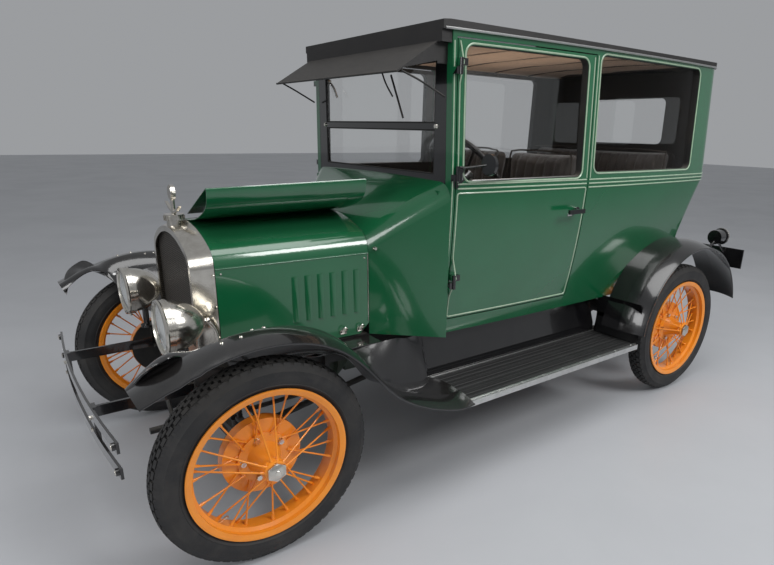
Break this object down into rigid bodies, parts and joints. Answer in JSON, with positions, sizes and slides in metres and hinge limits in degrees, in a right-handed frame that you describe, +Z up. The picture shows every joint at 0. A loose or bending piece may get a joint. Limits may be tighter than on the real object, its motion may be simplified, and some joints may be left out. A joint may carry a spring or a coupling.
{
  "type": "vintage car",
  "caption": "Closed two-door 1920s car with wire wheels, flowing fenders, running boards, a folding hood and an upright cabin; wheels, steering, doors and hood panels move",
  "frame": {"origin": "on the ground under the middle of the car's box", "axes": "+X forward, +Y to the car's left, +Z up"},
  "size_m": [3.58, 1.66, 1.9],
  "materials": {
    "wheel_paint": "gloss",
    "tyre": "matt",
    "black_metal": "gloss",
    "chassis": "satin",
    "spring_steel": "satin",
    "engine_paint": "satin",
    "exhaust_iron": "matt",
    "nickel": "polished",
    "core": "satin",
    "body_paint": "gloss",
    "roof_cover": "satin",
    "glass": "polished",
    "floor_cover": "matt",
    "seat_cloth": "matt",
    "board_cover": "matt",
    "steering_rim": "gloss"
  },
  "bodies": {
    "chassis_and_body": {"frame": "chassis", "front_axle": "chassis", "springs": "spring_steel", "steering_column": "black_metal", "rear_axle": "chassis", "engine": "engine_paint", "exhaust": "exhaust_iron", "radiator_shell": "nickel", "radiator_core": "core", "cowl": "body_paint", "body_left": "body_paint", "body_right": "body_paint", "body_rear": "body_paint", "windshield_frame": "black_metal", "body_glass": "glass", "roof": "roof_cover", "floor": "floor_cover", "front_seats": "seat_cloth", "rear_seat": "seat_cloth", "front_fenders": "black_metal", "rear_fenders": "black_metal", "running_boards": "board_cover", "headlamps": "nickel", "front_bumper": "nickel", "tail_lamp": "nickel"},
    "wheel_front_left_body": {"wheel_front_left": "wheel_paint", "tyre_front_left": "tyre"},
    "wheel_front_right_body": {"wheel_front_right": "wheel_paint", "tyre_front_right": "tyre"},
    "wheel_rear_left_body": {"wheel_rear_left": "wheel_paint", "tyre_rear_left": "tyre"},
    "wheel_rear_right_body": {"wheel_rear_right": "wheel_paint", "tyre_rear_right": "tyre"},
    "left_knuckle": {"knuckle_left": "chassis"},
    "right_knuckle": {"knuckle_right": "chassis"},
    "steering_tie_rod": {"tie_rod": "chassis"},
    "steering_drop_arm": {"pitman_arm": "chassis"},
    "steering_drag_link": {"drag_link": "chassis"},
    "hand_wheel": {"steering_wheel": "steering_rim"},
    "cooling_fan": {"fan": "black_metal"},
    "hood_left_upper": {"hood_left_top": "body_paint"},
    "hood_left_lower": {"hood_left_side": "body_paint"},
    "hood_right_upper": {"hood_right_top": "body_paint"},
    "hood_right_lower": {"hood_right_side": "body_paint"},
    "left_door": {"door_left": "body_paint", "door_glass_left": "glass"},
    "right_door": {"door_right": "body_paint", "door_glass_right": "glass"}
  },
  "joints": [
    {"name": "steer_left", "type": "hinge", "parent": "chassis_and_body", "child": "left_knuckle", "pos_m": [1.33, 0.591, 0.37788], "axis": [0, 0, 1], "range_deg": [-30, 30]},
    {"name": "steer_right", "type": "hinge", "parent": "chassis_and_body", "child": "right_knuckle", "pos_m": [1.33, -0.591, 0.37788], "axis": [0, 0, 1], "range_deg": [-30, 30]},
    {"name": "tie_rod_swing", "type": "hinge", "parent": "left_knuckle", "child": "steering_tie_rod", "pos_m": [1.17, 0.591, 0.335], "axis": [0, 0, 1], "range_deg": [-30, 30]},
    {"name": "drop_arm_swing", "type": "hinge", "parent": "chassis_and_body", "child": "steering_drop_arm", "pos_m": [0.9, 0.3435, 0.566], "axis": [0, -1, 0], "range_deg": [-24, 24]},
    {"name": "drag_link_swing", "type": "hinge", "parent": "steering_drop_arm", "child": "steering_drag_link", "pos_m": [0.9, 0.3695, 0.416], "axis": [0, -1, 0], "range_deg": [-24, 24]},
    {"name": "hand_wheel_turn", "type": "hinge", "parent": "chassis_and_body", "child": "hand_wheel", "pos_m": [0.11, 0.3, 1.27], "axis": [-0.81, 0, 0.5864], "range_deg": [-360, 360]},
    {"name": "front_left_spin", "type": "hinge", "parent": "left_knuckle", "child": "wheel_front_left_body", "pos_m": [1.33, 0.711, 0.37788], "axis": [0, 0.9986, -0.0523], "continuous": true},
    {"name": "front_right_spin", "type": "hinge", "parent": "right_knuckle", "child": "wheel_front_right_body", "pos_m": [1.33, -0.711, 0.37788], "axis": [0, 0.9986, 0.0523], "continuous": true},
    {"name": "rear_left_spin", "type": "hinge", "parent": "chassis_and_body", "child": "wheel_rear_left_body", "pos_m": [-1.21, 0.711, 0.378], "axis": [0, 1, 0], "continuous": true},
    {"name": "rear_right_spin", "type": "hinge", "parent": "chassis_and_body", "child": "wheel_rear_right_body", "pos_m": [-1.21, -0.711, 0.378], "axis": [0, 1, 0], "continuous": true},
    {"name": "left_door_hinge", "type": "hinge", "parent": "chassis_and_body", "child": "left_door", "pos_m": [0.4075, 0.589, 1], "axis": [0, 0, -1], "range_deg": [0, 70]},
    {"name": "right_door_hinge", "type": "hinge", "parent": "chassis_and_body", "child": "right_door", "pos_m": [0.4075, -0.589, 1], "axis": [0, 0, 1], "range_deg": [0, 70]},
    {"name": "hood_left_lift", "type": "hinge", "parent": "chassis_and_body", "child": "hood_left_upper", "pos_m": [1.318, 0, 1.10743], "axis": [0.9999, 0, -0.0125], "range_deg": [0, 180]},
    {"name": "hood_right_unfold", "type": "hinge", "parent": "hood_left_upper", "child": "hood_right_upper", "pos_m": [1.318, 0, 1.10743], "axis": [-0.9999, 0, 0.0125], "range_deg": [-180, 0]},
    {"name": "hood_left_side_lift", "type": "hinge", "parent": "hood_left_upper", "child": "hood_left_lower", "pos_m": [1.318, 0.31031, 0.9635], "axis": [0.9986, -0.0531, 0], "range_deg": [0, 150]},
    {"name": "hood_right_side_unfold", "type": "hinge", "parent": "hood_right_upper", "child": "hood_right_lower", "pos_m": [1.3216, 0.30591, 1.2513], "axis": [0.9983, -0.053, -0.025], "range_deg": [-111.3, 0]},
    {"name": "fan_spin", "type": "hinge", "parent": "chassis_and_body", "child": "cooling_fan", "pos_m": [1.25, 0, 0.695], "axis": [1, 0, 0], "continuous": true}
  ],
  "couplings": [
    {"joint": "steer_right", "follows": "steer_left", "ratio": 1},
    {"joint": "tie_rod_swing", "follows": "steer_left", "ratio": -1},
    {"joint": "drop_arm_swing", "follows": "steer_left", "ratio": 0.787},
    {"joint": "drag_link_swing", "follows": "steer_left", "ratio": -0.787},
    {"joint": "hand_wheel_turn", "follows": "steer_left", "ratio": 12}
  ]
}
